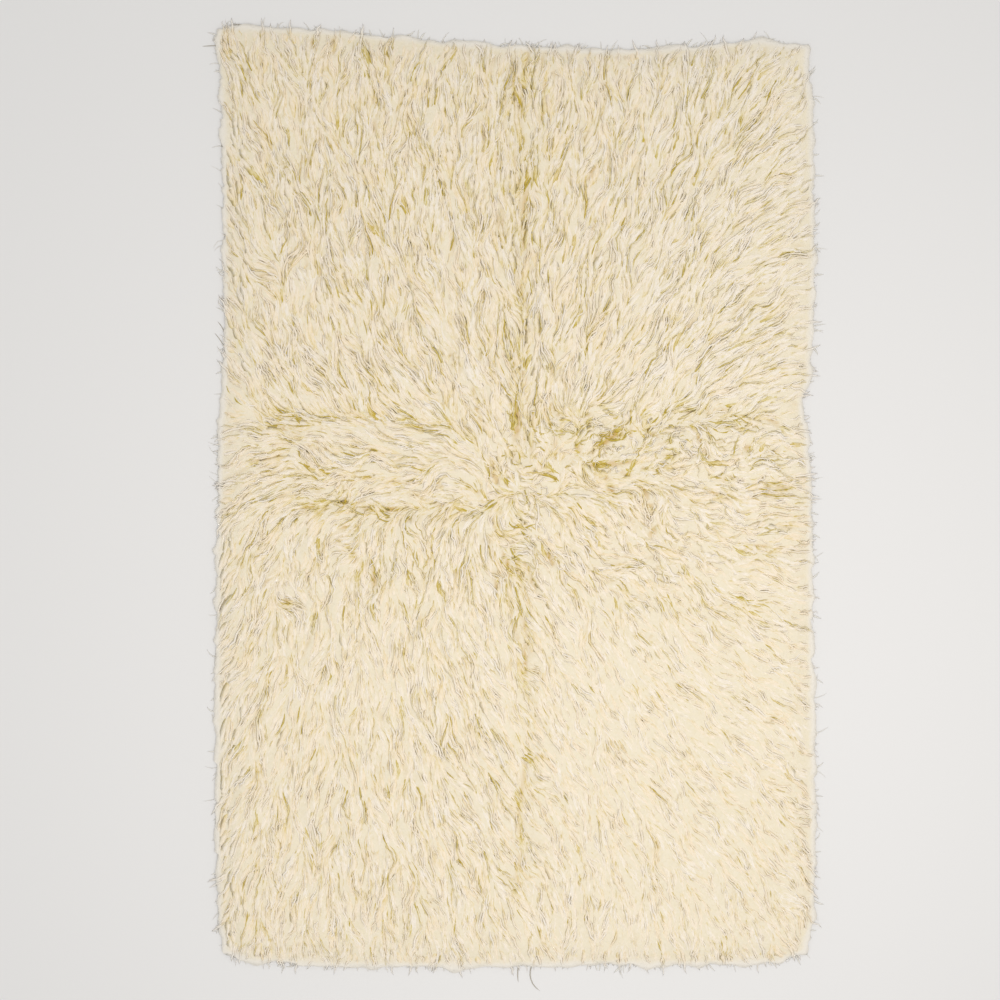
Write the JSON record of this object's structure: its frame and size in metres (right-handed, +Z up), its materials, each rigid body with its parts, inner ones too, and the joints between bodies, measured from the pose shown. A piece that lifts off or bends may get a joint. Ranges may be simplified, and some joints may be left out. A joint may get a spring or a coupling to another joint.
{
  "type": "flokati rug",
  "caption": "Long-pile wool rug lying flat, with shaggy pile combed outwards, locks at its rim and the marks of a cross fold.",
  "frame": {"origin": "middle of the underside, at the centre of the rug's box, on the floor", "axes": "+X to the rug's right, +Y along its length towards the head end, +Z up out of the pile"},
  "size_m": [1.594, 2.4368, 0.0423],
  "materials": {
    "wool": "undyed cream wool, long matted pile, matt with a slight sheen"
  },
  "bodies": {
    "root": {"rug": "wool"}
  },
  "joints": []
}
